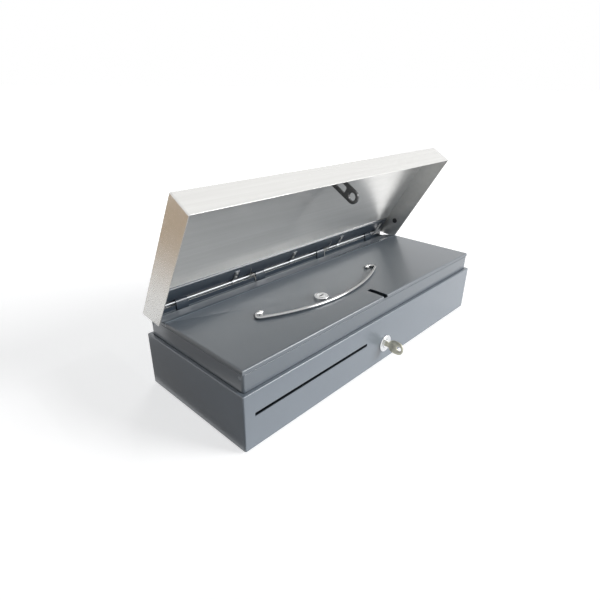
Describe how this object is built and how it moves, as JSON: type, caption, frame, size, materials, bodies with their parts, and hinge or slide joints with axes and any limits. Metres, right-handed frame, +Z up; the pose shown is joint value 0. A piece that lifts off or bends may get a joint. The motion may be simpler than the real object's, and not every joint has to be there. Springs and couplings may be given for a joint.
{
  "type": "flip-top cash drawer",
  "caption": "Low steel cash drawer with a sprung brushed lid hinged at the rear, a lift-out money tray under a cover with a bail handle, a key lock and a solenoid latch.",
  "frame": {"origin": "middle of the case's footprint, on the surface that the rubber feet stand on", "axes": "+X to the right seen from the front, +Y to the rear (hinge) side, +Z up; the front with the lock faces -Y"},
  "size_m": [0.46, 0.201, 0.2415],
  "materials": {
    "case_paint": "satin powder coat, dark blue-grey",
    "lid_steel": "fine brushed grain along the lid",
    "hinge_paint": "dark satin paint",
    "bright_steel": "plain drawn steel",
    "spring_steel": "oiled wire",
    "black_steel": "satin black",
    "zinc_plate": "zinc plated sheet",
    "lock_chrome": "polished",
    "key_nickel": "worn nickel plate",
    "tray_plastic": "moulded, fine texture",
    "coil_wrap": "tape",
    "foot_rubber": "matt"
  },
  "bodies": {
    "root": {"case_shell": "case_paint", "collar_frame": "case_paint", "hinge_wall": "hinge_paint", "collar_rivets": "case_paint", "rubber_feet": "foot_rubber", "foot_rivets": "bright_steel", "tray_ledges": "zinc_plate", "cable_socket": "tray_plastic", "hinge_lugs": "hinge_paint", "lug_rivets": "hinge_paint", "hinge_rod": "bright_steel", "torsion_spring_left": "spring_steel", "torsion_spring_right": "spring_steel", "front_lock_body": "lock_chrome", "front_lock_nut": "zinc_plate", "latch_frame": "zinc_plate", "hook_pin": "bright_steel", "solenoid": "coil_wrap", "return_spring": "spring_steel"},
    "lid": {"lid_shell": "lid_steel", "lid_hinge_leaf": "hinge_paint", "hinge_straps": "bright_steel", "strap_rivets": "bright_steel", "lid_buffers": "foot_rubber", "striker": "black_steel", "striker_rivets": "black_steel"},
    "insert": {"insert_tray": "case_paint", "centre_partition": "case_paint", "coin_tray_left": "tray_plastic", "coin_tray_right": "tray_plastic", "note_dividers": "tray_plastic"},
    "cover": {"insert_cover": "case_paint", "handle_ears": "bright_steel", "cover_lock_body": "lock_chrome", "cover_lock_nut": "zinc_plate"},
    "bail": {"bail_handle": "lock_chrome"},
    "cover_plug": {"cover_lock_plug": "lock_chrome", "cover_lock_cam": "zinc_plate", "cover_cam_screw": "zinc_plate"},
    "hook": {"hook_lever": "zinc_plate"},
    "solenoid_core": {"plunger": "bright_steel"},
    "front_plug": {"front_lock_plug": "lock_chrome", "front_lock_cam": "zinc_plate", "front_cam_screw": "zinc_plate"},
    "key": {"front_key": "key_nickel"}
  },
  "joints": [
    {"name": "lid_hinge", "type": "hinge", "parent": "root", "child": "lid", "pos_m": [0, 0.082, 0.0958], "axis": [-1, 0, 0], "range_deg": [-59.7, 0], "stiffness_Nm_per_rad": 0.7, "springref_deg": 68.75, "deforming": ["torsion_spring_left", "torsion_spring_right"]},
    {"name": "insert_lift", "type": "slide", "parent": "root", "child": "insert", "axis": [0, 0, 1], "range_m": [0, 0.015]},
    {"name": "cover_tilt", "type": "hinge", "parent": "insert", "child": "cover", "pos_m": [0, 0.0723, 0.0887], "axis": [-1, 0, 0], "range_deg": [0, 30]},
    {"name": "bail_swing", "type": "hinge", "parent": "cover", "child": "bail", "pos_m": [-0.039, -0.0082, 0.0952], "axis": [-1, 0, 0], "range_deg": [0, 90]},
    {"name": "cover_lock_turn", "type": "hinge", "parent": "cover", "child": "cover_plug", "pos_m": [-0.059, -0.029, 0.093], "axis": [0, 0, 1], "range_deg": [0, 90]},
    {"name": "front_lock_turn", "type": "hinge", "parent": "root", "child": "front_plug", "pos_m": [0.004, -0.085, 0.027], "axis": [0, -1, 0], "range_deg": [0, 90]},
    {"name": "key_pull", "type": "slide", "parent": "front_plug", "child": "key", "axis": [0, -1, 0], "range_m": [0, 0.025]},
    {"name": "hook_rock", "type": "hinge", "parent": "root", "child": "hook", "pos_m": [-0.013, -0.064, 0.039], "axis": [0, -1, 0], "range_deg": [0, 20], "stiffness_Nm_per_rad": 0.05, "springref_deg": -11.46, "deforming": ["return_spring"]},
    {"name": "core_slide", "type": "slide", "parent": "root", "child": "solenoid_core", "axis": [1, 0, 0], "range_m": [0, 0.0056]}
  ],
  "couplings": [
    {"joint": "core_slide", "follows": "hook_rock", "m_per_rad": 0.016}
  ]
}
